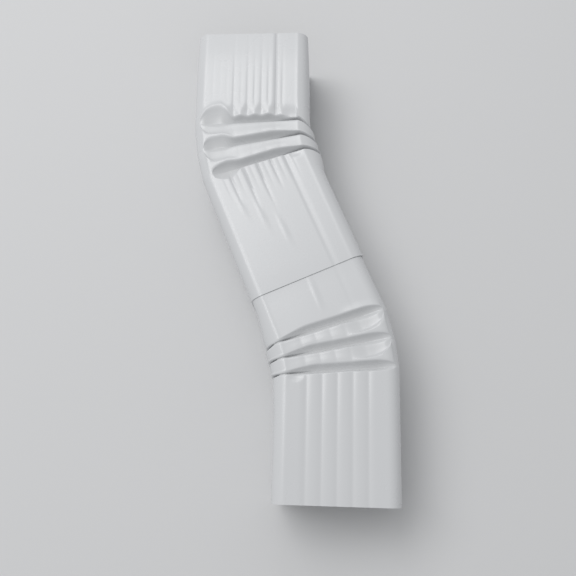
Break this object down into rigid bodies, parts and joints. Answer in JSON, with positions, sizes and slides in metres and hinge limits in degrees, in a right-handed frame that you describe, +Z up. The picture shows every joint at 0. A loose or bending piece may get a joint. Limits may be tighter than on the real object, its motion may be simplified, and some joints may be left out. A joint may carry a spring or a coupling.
{
  "type": "downspout elbow",
  "caption": "Rectangular corrugated sheet-metal downspout offset: pleated elbows nested end in end, bending opposite ways so the legs run parallel.",
  "frame": {"origin": "on the surface it lies on, under the middle of its bounding box", "axes": "+Z up, away from the wide face it lies on; +Y along the legs, from the outlet to the inlet; +X to the right, seen from above with the inlet at the top"},
  "size_m": [0.1468, 0.33, 0.0603],
  "materials": {
    "white_enamel": "baked white enamel, satin gloss, on aluminium sheet"
  },
  "bodies": {
    "root": {"upper_elbow": "white_enamel", "lower_elbow": "white_enamel"}
  },
  "joints": []
}
